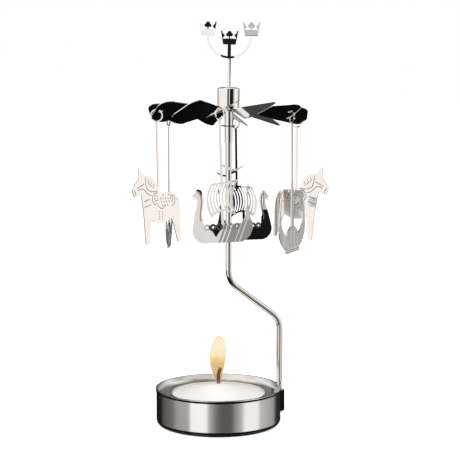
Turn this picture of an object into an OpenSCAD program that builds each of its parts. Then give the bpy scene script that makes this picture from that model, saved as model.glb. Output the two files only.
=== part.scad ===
// Candle carousel. Warm air from a tealight turns a bladed rotor that is hung with six pendants.
// Origin at the centre of the cup's underside, +Z up, the stand's foot on +X.

/* [Cup] */
// Outer diameter of the cup at its rim
cup_d = 50; // [48:0.5:60]
// Height of the cup
cup_h = 14.4; // [13.5:0.1:18]
// Thickness of the cup's sheet
cup_wall = 0.6; // [0.4:0.05:0.9]
// Outer radius of the cup's bottom edge
cup_edge_r = 2; // [1.2:0.1:2.8]
// How far the rim stands out from the wall
rim_out = 0.25; // [0.1:0.05:0.4]
// Height of the rim
rim_h = 0.9; // [0.5:0.1:1.4]

/* [Strap] */
// Height of the strap that holds the stand's foot
strap_h = 8.5; // [6:0.5:9]
// Height of the strap's lower edge over the table
strap_z = 3; // [2.5:0.1:4]
// How much wider the strap is on each side where it leaves the wall
strap_flare = 1.2; // [0.8:0.1:2]

/* [Stand] */
// Diameter of the stand's wire
rod_d = 2.4; // [2:0.1:2.8]
// Thickness of the wire's flattened foot
foot_t = 1.8; // [1.2:0.1:1.9]
// Width of the wire's flattened foot
foot_w = 3; // [2.9:0.1:3.6]
// Height of the foot's tip over the table
foot_z = 2; // [0.5:0.1:3]
// Distance of the rotor's axis from the cup's axis
axis_x = 4.3; // [0:0.1:8]
// Height at which the wire's lower bend starts
low_bend_z = 36.4; // [33:0.2:42]
// Radius of the wire's lower bend, at the wire's middle
low_bend_r = 8; // [5:0.25:10]
// Radius of the wire's upper bend, at the wire's middle
high_bend_r = 9; // [6:0.25:11]
// Angle that each bend turns through
bend_turn = 53.2; // [48:0.2:62]
// Height of the wire's top
rod_top = 118; // [114:0.5:119]

/* [Pivot] */
// Diameter of the pivot sleeve on the wire's top
sleeve_d = 3.1; // [2.9:0.1:3.6]
// Height of the sleeve's lower end
sleeve_z = 112; // [108:0.5:113]
// Length of the pivot sleeve
sleeve_len = 12.4; // [11.5:0.1:13]
// Diameter of the sleeve's thin flange
flange_d = 5.8; // [5:0.1:6.4]
// Height of the flange's lower face
flange_z = 118.2; // [116:0.1:119]
// Diameter of the pivot needle
needle_d = 1.2; // [0.8:0.1:1.5]
// Length of the needle's point
needle_point = 1.9; // [1.2:0.1:2.4]
// Gap between the needle's point and its seat
needle_gap = 0.05; // [0.02:0.01:0.1]

/* [Cap] */
// Diameter of the bearing cap
cap_d = 8.7; // [8:0.1:10]
// Height of the bearing cap over the rotor's hub
cap_h = 8.65; // [8:0.05:10]
// Radius of the cap's top edge
cap_edge_r = 0.8; // [0.4:0.1:1.2]
// Diameter of the cap's bore
cap_bore_d = 4.8; // [4.2:0.1:5.2]
// Thickness of the cap's top over the bore
cap_top_t = 2.3; // [2:0.1:2.6]
// Diameter of the spigot that carries the rotor
spigot_d = 6.4; // [6:0.1:6.8]
// Diameter of the lip that is rolled out under the rotor
lip_d = 7.4; // [7.2:0.1:7.8]
// Thickness of the rolled lip
lip_t = 0.5; // [0.3:0.1:0.8]
// Thickness of the bearing seat
seat_t = 1.3; // [1.1:0.1:1.6]
// Depth of the dimple in the bearing seat
dimple_depth = 0.8; // [0.5:0.1:0.9]
// Width of the dimple at its mouth
dimple_d = 2; // [1.6:0.1:2.6]

/* [Lean] */
// Angle that the head leans on its needle
head_lean = 5.2; // [0:0.1:5.5]
// Direction of the side of the rotor that the lean lifts
head_lean_dir = -122; // [-180:1:180]

/* [Rotor] */
// Height of the middle of the rotor's sheet at its hub
rotor_z = 124.4; // [124:0.1:126]
// Thickness of the rotor's sheet
rotor_t = 0.3; // [0.2:0.05:0.4]
// Radius of the rotor's flat hub
hub_r = 7.5; // [7:0.1:8]
// Radius of the rotor at the blades' tips
rotor_r = 31; // [30:0.25:34]
// Number of blades, a pendant hanging from every second one
blade_count = 12; // [12:6:12]
// Width of a blade at its neck
blade_neck_w = 3.2; // [2.4:0.1:3.4]
// Width of a blade at its tip
blade_tip_w = 13.8; // [11:0.2:14.4]
// Radius of a blade's outer corners
blade_corner_r = 4; // [3:0.1:4.6]
// Angle that each blade is turned to the air
blade_pitch = 28; // [20:1:34]
// Angle that each blade droops below the hub
blade_droop = 3.5; // [0:0.5:6]
// Diameter of the hole that a pendant's ring goes through
hook_hole_d = 2; // [1.8:0.1:2.2]
// Distance from the hole's middle to the blade's tip
hook_hole_in = 2.3; // [2.1:0.05:2.4]

/* [Topper] */
// Thickness of the topper's sheet
topper_t = 0.5; // [0.4:0.05:0.6]
// Width of the topper's stem
topper_stem_w = 1.3; // [0.9:0.1:1.5]
// Depth of the stem's seat in the cap
topper_seat = 1.5; // [1:0.1:1.6]
// Height of the middle crown's foot over the cap
mid_crown_rise = 16.9; // [15:0.1:19]
// Height of the arm's middle over the cap
arm_rise = 20.4; // [19:0.1:22]
// Middle radius of the curved arm that carries the side crowns
arm_r = 8.5; // [7.8:0.1:9.5]
// Width of the curved arm
arm_w = 0.8; // [0.6:0.1:1.2]
// Width of a crown at its foot
crown_foot_w = 4.9; // [4.4:0.1:5.4]
// Width of a crown at its points
crown_w = 6.8; // [6.2:0.1:7.2]
// Height of a crown
crown_h = 5.3; // [4.8:0.1:6]
// Direction that the topper faces, about the rotor's axis
topper_turn = -20; // [-180:1:180]

/* [Pendants] */
// Thickness of the pendants' sheet
pendant_t = 0.5; // [0.3:0.05:0.5]
// Width of a pendant's stem
stem_w = 0.9; // [0.7:0.05:1.1]
// Outer diameter of a pendant's ring
ring_d = 5; // [4.9:0.05:5.4]
// Width of the ring's band
ring_band = 0.5; // [0.4:0.05:0.55]
// Gap of the ring, which lets it onto the blade
ring_slit = 0.5; // [0.35:0.05:0.7]
// Angle between a ring and the line from the rotor's axis
ring_turn = -36; // [-40:1:-20]
// Gap between a hanging ring and its blade
ring_clear = 0.3; // [0.26:0.01:0.34]
// Direction of the front pendant, seen from the rotor's axis
first_blade_dir = -115; // [-180:1:180]
// Width of the etched lines
etch_w = 0.28; // [0.2:0.02:0.34]
// Depth of the etched lines on each face
etch_depth = 0.1; // [0.05:0.01:0.14]

/* [Horse] */
// Width of the horse
horse_w = 24.2; // [20:0.2:26]
// Height of the horse
horse_h = 29.6; // [26:0.2:32]
// Distance from the ring's middle to each horse's hooves
horse_drop = 49.4; // [46:0.2:52]

/* [Ship] */
// Width of the ship
ship_w = 22.8; // [20:0.2:25]
// Height of the ship from its keel to the top of its sail
ship_h = 22.8; // [20:0.2:25]
// Distance from the ring's middle to each ship's keel
ship_drop = 47.9; // [46:0.2:52]
// Number of slots in the ship's sail
sail_slots = 8; // [4:1:9]
// Radius of the shields along the ship's side
shield_r = 1.3; // [1:0.05:1.4]
// Number of shields along the ship's side
shield_count = 6; // [4:1:6]
// Width of the pennant
pennant_w = 1.2; // [0.7:0.05:1.4]

/* [Helmet] */
// Width of the helmet over its horns
helmet_w = 22.4; // [18:0.2:24]
// Height of the helmet to the tips of its horns
helmet_h = 22; // [18:0.2:24]
// Distance from the ring's middle to the helmet's lower edge
helmet_drop = 51.6; // [46:0.2:52]
// Width of the helmet's bowl
bowl_w = 11.4; // [10:0.2:13]
// Height of the helmet's bowl
bowl_h = 10.4; // [9:0.2:12]
// Height of the helmet's brow band
brow_h = 1.9; // [1.4:0.1:2.4]
// Width of the slots in the helmet's bowl
bowl_slot_w = 0.6; // [0.4:0.05:0.8]

/* [Tealight] */
// Diameter of the tealight
tealight_d = 38; // [36:0.5:39]
// Height of the tealight's cup
tealight_h = 11.8; // [11:0.1:12.6]
// Thickness of the tealight's cup
tealight_wall = 0.3; // [0.2:0.05:0.4]
// Depth of the wax below the tealight's rim
wax_in = 0.7; // [0.4:0.1:1.5]
// Height of the mound of wax at the wick
wax_mound = 4.4; // [1:0.1:5]
// Radius of the mound of wax at its foot
wax_mound_r = 17.6; // [8:0.2:18]
// Diameter of the wick
wick_d = 1.5; // [1.2:0.1:1.8]
// Height of the wick's straight part over the wax
wick_rise = 2.4; // [2:0.1:4]
// Radius of the wick's bend
wick_bend_r = 7; // [4:0.5:10]
// Angle that the wick's tip bends through
wick_bend = 32; // [20:1:45]
// Diameter of the wick's tin foot
sustainer_d = 13; // [10:0.5:15]
// Thickness of the wick's tin foot
sustainer_t = 0.3; // [0.2:0.05:0.4]
// Height of the tin foot's neck
neck_h = 3; // [2:0.1:4]

/* [Hidden] */

$fn = 64;
// Overrun of every cut past the face that it opens
over = 0.5;
// Clearance between pieces that are fitted together and stay so
fit_gap = 0.03;
// Clearance between the wire and the cup's rim
rim_gap = 0.1;
// Clearance between the tealight's cup, its wax and its wick
wax_gap = 0.05;

// Cup
wall_r = cup_d / 2 - rim_out;
cup_inner_r = wall_r - cup_wall;

// Foot and strap: the foot bears on the strap's inner face
rod_x = cup_d / 2 + rim_gap + rod_d / 2;
strap_in_x = rod_x + foot_t / 2;
strap_side = 0.35;
strap_in_half = foot_w / 2 + strap_side;
foot_top = cup_h - over;
shoulder_h = 2;
// Drawn out by bending, the wire is a hair thinner in its bends
bend_draw = 0.01;
bend_lap = 0.2;

// Bends of the wire, each named by its middle
low_bend_x = rod_x - low_bend_r;
high_bend_x = axis_x + high_bend_r;
slant_x0 = low_bend_x + low_bend_r * cos(bend_turn);
slant_z0 = low_bend_z + low_bend_r * sin(bend_turn);
slant_x1 = high_bend_x - high_bend_r * cos(bend_turn);
slant_len = (slant_x0 - slant_x1) / sin(bend_turn);
high_bend_z = slant_z0 + slant_len * cos(bend_turn) + high_bend_r * sin(bend_turn);

// Cap, seat and needle
cap_z = rotor_z + rotor_t / 2;
cap_top = cap_z + cap_h;
bore_top = cap_top - cap_top_t;
seat_z = bore_top - seat_t;
spigot_z = rotor_z - rotor_t / 2;
needle_tip = [axis_x, 0, seat_z + dimple_depth - needle_gap];
lean_axis = [sin(head_lean_dir), -cos(head_lean_dir), 0];
sleeve_top = sleeve_z + sleeve_len;
sleeve_edge = 0.3;
flange_t = 0.4;

// Blades and the holes in them
blade_root_r = hub_r - blade_neck_w / 4;
blade_len = (rotor_r - blade_root_r) / cos(blade_droop);
hole_along = blade_len - hook_hole_in;
hole_r = blade_root_r + hole_along * cos(blade_droop);
hole_z = rotor_z - hole_along * sin(blade_droop);

// A ring hangs on the metal between the hole and the blade's tip. In the ring's own plane
// it touches two edges of that metal, and its middle lies as low as they allow.
ring_slope = tan(blade_pitch) * sin(ring_turn) - tan(blade_droop) * cos(ring_turn);
ring_edge_a = hook_hole_d / 2;
ring_edge_b = hook_hole_in / cos(ring_turn);
ring_chord = (ring_edge_b - ring_edge_a) * sqrt(1 + ring_slope * ring_slope);
ring_hold_r = ring_d / 2 - ring_band - ring_clear;
ring_sag = sqrt(ring_hold_r * ring_hold_r - ring_chord * ring_chord / 4);
ring_tilt = atan(ring_slope);
ring_mid = (ring_edge_a + ring_edge_b) / 2;
ring_x = ring_mid + ring_sag * sin(ring_tilt);
ring_z = ring_mid * ring_slope + rotor_t / 2 - ring_sag * cos(ring_tilt);
ring_slit_dir = -35;

// Each pendant: the number of its sixth of a turn, and the direction of its right-hand side
sixth = 360 / 6;
horse_dirs = [22, 130];
ship_dirs = [-20, 160];
helmet_dirs = [41, 246];
// None hangs quite true: how much higher each hangs, and how far its stem slants and its figure tilts
horse_raise = [0, 2.4];
horse_slants = [1.6, 0];
horse_tilts = [0, 2.2];
ship_raise = [0, -0.9];
ship_slants = [2, -0.8];
// How far a ship hangs off the line of its stem
ship_shifts = [0, 3];
ship_tilts = [3, -2];
helmet_slants = [1, 0];
helmet_tilts = [2.6, 0];

// Shapes of the horse, as shares of its width and height, nose to the left
horse_shares = [
    [0.271, 0], [0.331, 0], [0.343, 0.056], [0.378, 0.314], [0.45, 0.282], [0.582, 0.262],
    [0.715, 0.29], [0.798, 0.318], [0.859, 0.193], [0.919, 0.03], [0.931, 0], [0.993, 0],
    [0.996, 0.06], [0.99, 0.137], [0.978, 0.38], [0.96, 0.517], [0.919, 0.605], [0.87, 0.643],
    [0.8, 0.66], [0.7, 0.664], [0.547, 0.656], [0.53, 0.7], [0.511, 0.75], [0.45, 0.831],
    [0.378, 0.879], [0.31, 0.9], [0.234, 0.912], [0.131, 1], [0.121, 0.99], [0.121, 0.855],
    [0.042, 0.783], [0, 0.732], [0.006, 0.7], [0.036, 0.632], [0.06, 0.625], [0.174, 0.666],
    [0.186, 0.62], [0.216, 0.459], [0.234, 0.338], [0.259, 0.056]];
horse_stem_share = 0.56;
horse_line_shares = [
    [[0.26, 0.88], [0.265, 0.784], [0.295, 0.72], [0.374, 0.688], [0.451, 0.684], [0.505, 0.692]],
    [[0.327, 0.85], [0.315, 0.808], [0.339, 0.776]],
    [[0.386, 0.816], [0.362, 0.776], [0.386, 0.75]],
    [[0.44, 0.784], [0.416, 0.752], [0.43, 0.73]],
    [[0.093, 0.74], [0.23, 0.796]],
    [[0.105, 0.712], [0.158, 0.732], [0.218, 0.728], [0.277, 0.68], [0.327, 0.648], [0.38, 0.64]],
    [[0.03, 0.72], [0.06, 0.68], [0.062, 0.65]],
    [[0.224, 0.563], [0.345, 0.591]],
    [[0.236, 0.487], [0.362, 0.523]],
    [[0.505, 0.67], [0.446, 0.66], [0.398, 0.625], [0.404, 0.559], [0.446, 0.515], [0.505, 0.531]],
    [[0.495, 0.63], [0.455, 0.63], [0.44, 0.6], [0.463, 0.56], [0.517, 0.571], [0.505, 0.599]],
    [[0.517, 0.511], [0.541, 0.471], [0.612, 0.455], [0.671, 0.503]],
    [[0.754, 0.63], [0.804, 0.608], [0.816, 0.559], [0.79, 0.53]],
    [[0.8, 0.635], [0.857, 0.595], [0.866, 0.527], [0.81, 0.483]],
    [[0.905, 0.58], [0.93, 0.555]]];
horse_dash_rows = [[0.56, 0.6, 5], [0.58, 0.556, 4], [0.6, 0.512, 3]];
horse_dash_pitch_share = 0.05;
horse_dash_share = 0.028;
horse_girth_shares = [0.54, 0.605];
horse_girth_top_share = 0.43;
horse_girth_low_share = 0.3;
horse_girth_dashes = 4;
horse_hole_shares = [[0.615, 0.634], [0.731, 0.634]];
horse_hole_r = 0.35;

// Shapes of the ship, as shares of its width and height from the foot of its mast
hull_shares = [
    [-0.34, 0], [0.3, 0], [0.37, 0.035], [0.445, 0.11], [0.488, 0.22], [0.485, 0.31],
    [0.46, 0.395], [0.44, 0.51], [0.432, 0.64], [0.44, 0.8], [0.456, 0.95], [0.437, 0.95],
    [0.416, 0.8], [0.41, 0.63], [0.402, 0.51], [0.372, 0.408], [0.315, 0.33], [0.29, 0.28],
    [-0.31, 0.28], [-0.315, 0.395], [-0.338, 0.475], [-0.33, 0.53], [-0.312, 0.58],
    [-0.29, 0.69], [-0.296, 0.785], [-0.32, 0.87], [-0.36, 0.9], [-0.4, 0.885],
    [-0.425, 0.845], [-0.445, 0.82], [-0.48, 0.775], [-0.435, 0.765], [-0.465, 0.715],
    [-0.44, 0.72], [-0.412, 0.75], [-0.398, 0.706], [-0.41, 0.62], [-0.443, 0.526],
    [-0.48, 0.35], [-0.502, 0.23], [-0.502, 0.18], [-0.474, 0.096], [-0.41, 0.03]];
mane_shares = [
    [-0.385, 0.845], [-0.355, 0.83], [-0.333, 0.77], [-0.328, 0.68], [-0.345, 0.56],
    [-0.362, 0.45], [-0.36, 0.37]];
mane_w = 0.5;
shield_z_share = 0.26;
shield_x_shares = [-0.262, 0.236];
shield_hole_share = 0.3;
shield_ring_share = 0.66;
sail_top_share = 1;
sail_left_shares = [-0.155, -0.25, -0.18];
sail_right_shares = [0.285, 0.185, 0.24];
sail_skew_share = 0.026;
sail_low_share = 0.415;
sail_arch_share = 0.515;
sail_steps = 10;
sail_slot_share = 0.42;
sail_rim_share = 0.035;
pennant_share = 1.222;
pennant_len_share = 0.36;
pennant_wave_share = 0.04;
mast_w = 1.1;

// Shapes of the helmet's horn, as shares of its reach past the bowl and of its height
horn_shares = [
    [-0.12, 0.06], [0.3, 0.11], [0.62, 0.19], [0.88, 0.29], [0.99, 0.39], [1, 0.5], [0.92, 0.65],
    [0.8, 0.79], [0.66, 0.92], [0.56, 1], [0.5, 0.985], [0.55, 0.9], [0.64, 0.78], [0.69, 0.66],
    [0.66, 0.56], [0.53, 0.46], [0.3, 0.38], [-0.12, 0.31]];
horn_line_shares = [[[0.22, 0.12], [0.13, 0.33]], [[0.4, 0.155], [0.31, 0.365]]];
horn_w = (helmet_w - bowl_w) / 2;
bowl_side_share = 0.36;
spike_w = 2.4;
spike_h = 22;
slot_x_shares = [-0.36, -0.12, 0.12, 0.36];
slot_top_shares = [0.52, 0.8, 0.8, 0.52];
rivet_count = 6;
rivet_r = 0.22;

// Shapes of a crown, as shares of half its width and of its height
crown_point_shares = [[1, 1], [0.84, 1], [0.8, 0.84], [0.56, 0.7], [0.56, 0.62], [0.76, 0.5]];
crown_band_share = 0.42;
crown_wave_r = 0.32;
trefoil_r = 0.8;
trefoil_side_r = 0.68;
trefoil_neck_w = 0.5;

// Tealight
tealight_r = tealight_d / 2;
wax_r = tealight_r - tealight_wall - wax_gap;
wax_z = cup_wall + tealight_wall;
wax_top = cup_wall + tealight_h - wax_in;
mound_steps = 12;
mound_wave = 0.35;
neck_wall = 0.25;
wick_z = wax_z + sustainer_t;
wick_steps = 6;
wick_w = wick_d * 0.8;
wick_t = wick_d * 0.55;
wick_top = wax_top + wax_mound + wick_rise;

// A line of even width through points
function stroke_side(pts, i, w) =
    let (a = pts[max(i - 1, 0)], b = pts[min(i + 1, len(pts) - 1)], d = (b - a) / norm(b - a))
    [-d[1], d[0]] * w / 2;

function scaled(shares, w, h) = [for (p = shares) [p[0] * w, p[1] * h]];

// The head leans about the needle's tip
function leaned(p) =
    let (q = p - needle_tip, k = lean_axis)
    needle_tip + q * cos(head_lean) + cross(k, q) * sin(head_lean)
        + k * (k * q) * (1 - cos(head_lean));

module lean() {
    translate(needle_tip) rotate(a = head_lean, v = lean_axis) translate(-needle_tip) children();
}

module stroke(pts, w) {
    n = len(pts);
    polygon(concat(
        [for (i = [0 : n - 1]) pts[i] + stroke_side(pts, i, w)],
        [for (i = [n - 1 : -1 : 0]) pts[i] - stroke_side(pts, i, w)]));
}

// Half of a round vessel's section, with a rounded lower edge
module vessel_section(r, h, edge_r) {
    square([r - edge_r, h]);
    translate([0, edge_r]) square([r, h - edge_r]);
    translate([r - edge_r, edge_r]) circle(edge_r);
}

module cup() {
    color("silver") {
        difference() {
            rotate_extrude($fn = 128) {
                difference() {
                    vessel_section(wall_r, cup_h, cup_edge_r);
                    translate([0, cup_wall])
                        vessel_section(cup_inner_r, cup_h, cup_edge_r - cup_wall);
                }
                translate([cup_inner_r, cup_h - rim_h]) square([cup_wall + rim_out, rim_h]);
            }
            strap_window();
        }
        strap();
    }
}

// The opening in the wall that the strap was pressed out of
module strap_window() {
    half = strap_in_half + strap_flare;
    translate([cup_inner_r - cup_wall, -half, strap_z]) cube([3 * cup_wall, 2 * half, strap_h]);
}

module strap() {
    foot_half = strap_in_half + strap_flare;
    base_x = cup_inner_r - cup_wall;
    translate([0, 0, strap_z])
        difference() {
            linear_extrude(strap_h)
                difference() {
                    polygon([
                        [base_x, foot_half + cup_wall], [wall_r, foot_half + cup_wall],
                        [strap_in_x + cup_wall, strap_in_half],
                        [strap_in_x + cup_wall, -strap_in_half],
                        [wall_r, -foot_half - cup_wall], [base_x, -foot_half - cup_wall]]);
                    polygon([
                        [base_x - over, foot_half], [wall_r - cup_wall / 2, foot_half],
                        [strap_in_x, strap_in_half - cup_wall / 2],
                        [strap_in_x, -strap_in_half + cup_wall / 2],
                        [wall_r - cup_wall / 2, -foot_half], [base_x - over, -foot_half]]);
                }
            translate([0, 0, -over]) cylinder(r = cup_inner_r, h = strap_h + 2 * over, $fn = 128);
        }
}

// A bend of the wire, whose ends run a little way into the straight lengths
module bend(x, z, r, from) {
    lap = bend_lap / r * 180 / PI;
    translate([x, 0, z])
        rotate([90, 0, 0])
            rotate(from - lap)
                rotate_extrude(angle = bend_turn + 2 * lap)
                    translate([r, 0]) circle(d = rod_d - 2 * bend_draw, $fn = 32);
}

module stand_rod() {
    color("gainsboro") {
        // Flattened foot, whose shoulder runs out into the round wire
        intersection() {
            translate([rod_x, 0, foot_z]) {
                cylinder(d = foot_w, h = foot_top - foot_z);
                translate([0, 0, foot_top - foot_z])
                    cylinder(d1 = foot_w, d2 = foot_t, h = shoulder_h);
            }
            translate([rod_x - foot_t / 2, -foot_w, 0])
                cube([foot_t, 2 * foot_w, foot_top + shoulder_h]);
        }
        translate([rod_x, 0, foot_top]) cylinder(d = rod_d, h = low_bend_z - foot_top, $fn = 32);
        bend(low_bend_x, low_bend_z, low_bend_r, 0);
        translate([slant_x0, 0, slant_z0])
            rotate([0, -bend_turn, 0]) cylinder(d = rod_d, h = slant_len, $fn = 32);
        bend(high_bend_x, high_bend_z, high_bend_r, 180);
        translate([axis_x, 0, high_bend_z])
            cylinder(d = rod_d, h = rod_top - high_bend_z, $fn = 32);
    }
}

module pivot_sleeve() {
    color("silver")
        translate([axis_x, 0, sleeve_z])
            difference() {
                union() {
                    cylinder(d = sleeve_d, h = sleeve_len - sleeve_edge);
                    translate([0, 0, flange_z - sleeve_z]) cylinder(d = flange_d, h = flange_t);
                    translate([0, 0, sleeve_len - sleeve_edge])
                        cylinder(d1 = sleeve_d, d2 = sleeve_d - 2 * sleeve_edge, h = sleeve_edge);
                }
                translate([0, 0, -over])
                    cylinder(d = rod_d + 2 * fit_gap, h = rod_top - sleeve_z + over);
                cylinder(d = needle_d + 2 * fit_gap, h = sleeve_len + over);
            }
}

module pivot_needle() {
    shaft = needle_tip[2] - needle_point - rod_top;
    color("dimgray")
        translate([axis_x, 0, rod_top]) {
            cylinder(d = needle_d, h = shaft);
            translate([0, 0, shaft]) cylinder(d1 = needle_d, d2 = needle_d / 10, h = needle_point);
        }
}

module bearing_cap() {
    color("whitesmoke")
        lean() translate([axis_x, 0, 0])
            difference() {
                union() {
                    translate([0, 0, cap_z])
                        rotate_extrude()
                            mirror([0, 1])
                                translate([0, -cap_h]) vessel_section(cap_d / 2, cap_h, cap_edge_r);
                    translate([0, 0, spigot_z - lip_t])
                        cylinder(d = spigot_d, h = cap_z - spigot_z + 2 * lip_t);
                    translate([0, 0, spigot_z - lip_t]) cylinder(d = lip_d, h = lip_t);
                }
                translate([0, 0, spigot_z - lip_t - over])
                    cylinder(d = cap_bore_d, h = bore_top - spigot_z + lip_t + over);
                topper_slot();
            }
}

// The slot in the cap's top that the topper's stem stands in
module topper_slot() {
    translate([0, 0, cap_top - topper_seat])
        rotate(topper_turn)
            translate([-topper_stem_w / 2 - fit_gap, -topper_t / 2 - fit_gap, 0])
                cube([topper_stem_w + 2 * fit_gap, topper_t + 2 * fit_gap, topper_seat + over]);
}

module bearing_seat() {
    color("goldenrod")
        lean() translate([axis_x, 0, seat_z])
            difference() {
                cylinder(d = cap_bore_d - 2 * fit_gap, h = seat_t);
                cylinder(d1 = dimple_d, d2 = dimple_d / 5, h = dimple_depth);
            }
}

module blade(with_hole) {
    half = blade_tip_w / 2;
    inner = blade_len - blade_corner_r;
    translate([blade_root_r, 0, 0])
        rotate([0, blade_droop, 0])
            rotate([blade_pitch, 0, 0])
                difference() {
                    linear_extrude(rotor_t, center = true) {
                        polygon([
                            [0, -blade_neck_w / 2], [inner, -half], [blade_len, blade_corner_r - half],
                            [blade_len, half - blade_corner_r], [inner, half],
                            [0, blade_neck_w / 2]]);
                        for (side = [-1, 1])
                            translate([inner, side * (half - blade_corner_r)])
                                circle(blade_corner_r);
                    }
                    if (with_hole)
                        translate([hole_along, 0, -rotor_t])
                            cylinder(d = hook_hole_d, h = 2 * rotor_t);
                }
}

module rotor() {
    color("lightgray")
        lean() translate([axis_x, 0, rotor_z])
            difference() {
                union() {
                    translate([0, 0, -rotor_t / 2]) cylinder(r = hub_r, h = rotor_t);
                    for (i = [0 : blade_count - 1])
                        rotate(first_blade_dir + i * 360 / blade_count) blade(i % 2 == 0);
                }
                cylinder(d = spigot_d + 2 * fit_gap, h = blade_neck_w, center = true);
            }
}

module crown() {
    half = crown_w / 2;
    band_h = crown_band_share * crown_h;
    side = concat([[crown_foot_w / 2, 0]], scaled(crown_point_shares, half, crown_h),
                  [[crown_foot_w / 2, band_h]]);
    n = len(side);
    polygon(concat(side, [for (k = [1 : n]) [-side[n - k][0], side[n - k][1]]]));
    // Leaves along the band's top
    for (k = [-2 : 2])
        translate([k * 2 * crown_wave_r, band_h - crown_wave_r / 2]) circle(crown_wave_r, $fn = 24);
    // Middle leaf on its neck
    translate([-trefoil_neck_w / 2, 0]) square([trefoil_neck_w, crown_h - trefoil_r]);
    translate([0, crown_h - trefoil_r]) circle(trefoil_r, $fn = 32);
    for (k = [-1, 1])
        translate([k * trefoil_side_r, crown_h - trefoil_r - trefoil_side_r])
            circle(trefoil_side_r, $fn = 32);
}

module topper() {
    color("lightgray")
        lean() translate([axis_x, 0, cap_top])
            rotate([90, 0, topper_turn])
                linear_extrude(topper_t, center = true) {
                    translate([-topper_stem_w / 2, -topper_seat])
                        square([topper_stem_w, mid_crown_rise + topper_seat + over]);
                    translate([0, mid_crown_rise]) crown();
                    translate([0, arm_rise])
                        difference() {
                            circle(arm_r + arm_w / 2, $fn = 96);
                            circle(arm_r - arm_w / 2, $fn = 96);
                            translate([-2 * arm_r, 0]) square([4 * arm_r, 2 * arm_r]);
                        }
                    for (k = [-1, 1]) translate([k * arm_r, arm_rise]) crown();
                }
}

// The direction of a pendant's ring, and its middle: the ring hangs upright on the leaning
// blade, so its plane goes through the middle of the metal that it holds
function ring_dir(i) = first_blade_dir + i * sixth + ring_turn;
function ring_at(i) =
    let (a = first_blade_dir + i * sixth, d = ring_dir(i), side = [sin(d), -cos(d), 0],
         hole = [axis_x + hole_r * cos(a), hole_r * sin(a), hole_z],
         held = leaned(hole + [ring_mid * cos(d), ring_mid * sin(d), ring_mid * ring_slope]),
         middle = leaned(hole + [ring_x * cos(d), ring_x * sin(d), ring_z]))
    middle - side * (side * (middle - held));

module ring() {
    rotate([90, 0, 0])
        linear_extrude(pendant_t, center = true)
            difference() {
                circle(d = ring_d, $fn = 48);
                circle(d = ring_d - 2 * ring_band, $fn = 48);
                rotate(ring_slit_dir) translate([0, -ring_slit / 2]) square([ring_d, ring_slit]);
            }
}

// A ring, its stem down to stem_end, and a flat figure drop below the ring's middle, with
// what else stands on the stem as a second child
module pendant(i, dir, slant, tilt, drop, stem_end) {
    translate(ring_at(i)) {
        rotate(ring_dir(i)) ring();
        rotate([90, 0, dir]) {
            rotate(slant) {
                linear_extrude(pendant_t, center = true)
                    translate([-stem_w / 2, stem_end - drop])
                        square([stem_w, drop - stem_end - ring_d / 2 + ring_band / 2]);
                if ($children > 1)
                    translate([0, -drop]) linear_extrude(pendant_t, center = true) children(1);
            }
            translate([drop * sin(slant), -drop]) rotate(tilt) children(0);
        }
    }
}

// A flat figure with the same lines etched in both of its faces
module etched() {
    difference() {
        linear_extrude(pendant_t, center = true) children(0);
        for (face = [-1, 1])
            translate([0, 0, face * (pendant_t / 2 - etch_depth / 2 + over / 2)])
                linear_extrude(etch_depth + over, center = true) children(1);
    }
}

module horse_outline() {
    difference() {
        polygon(scaled(horse_shares, horse_w, horse_h));
        for (p = horse_hole_shares)
            translate([p[0] * horse_w, p[1] * horse_h]) circle(horse_hole_r, $fn = 16);
    }
}

module horse_lines() {
    for (line = horse_line_shares) stroke(scaled(line, horse_w, horse_h), etch_w);
    // Rows of slanted dashes on the saddle
    for (row = horse_dash_rows)
        for (k = [0 : row[2] - 1]) {
            x = (row[0] + k * horse_dash_pitch_share) * horse_w;
            d = horse_dash_share * horse_w;
            stroke([[x, row[1] * horse_h], [x + d * 0.7, row[1] * horse_h - d]], etch_w);
        }
    // Dashed girth
    dash = (horse_girth_top_share - horse_girth_low_share) * horse_h / horse_girth_dashes;
    for (share = horse_girth_shares)
        for (k = [0 : horse_girth_dashes - 1]) {
            top = horse_girth_top_share * horse_h - k * dash;
            stroke([[share * horse_w, top], [share * horse_w, top - dash * 0.6]], etch_w);
        }
}

module horse(i, k) {
    color("seashell")
        pendant(i, horse_dirs[k], horse_slants[k], horse_tilts[k], horse_drop - horse_raise[k],
                horse_h * 0.6)
            translate([-horse_stem_share * horse_w, 0])
                etched() {
                    horse_outline();
                    horse_lines();
                }
}

// A sail's edge bulges as a parabola between its top, middle and lower places
function bulge(s, t) = s[0] * (1 - t) * (1 - 2 * t) + s[1] * 4 * t * (1 - t) + s[2] * t * (2 * t - 1);
function sail_x(u, t) = ship_w * ((1 - u) * bulge(sail_left_shares, t) + u * bulge(sail_right_shares, t));
function sail_z(u, t) =
    let (low = sail_low_share + (sail_arch_share - sail_low_share) * 4 * u * (1 - u))
    ship_h * ((sail_top_share + sail_skew_share * (2 * u - 1)) * (1 - t) + low * t);

module sail() {
    steps = [0 : sail_steps];
    difference() {
        polygon(concat(
            [for (k = steps) [sail_x(0, k / sail_steps), sail_z(0, k / sail_steps)]],
            [for (k = steps) [sail_x(k / sail_steps, 1), sail_z(k / sail_steps, 1)]],
            [for (k = steps) [sail_x(1, 1 - k / sail_steps), sail_z(1, 1 - k / sail_steps)]]));
        for (s = [1 : sail_slots]) {
            u = s / (sail_slots + 1);
            w = sail_slot_share * (sail_x(1, 0.5) - sail_x(0, 0.5)) / (sail_slots + 1);
            t0 = sail_rim_share * 2;
            t1 = 1 - t0;
            stroke([for (k = steps) let (t = t0 + (t1 - t0) * k / sail_steps)
                [sail_x(u, t), sail_z(u, t)]], w);
        }
    }
}

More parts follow.
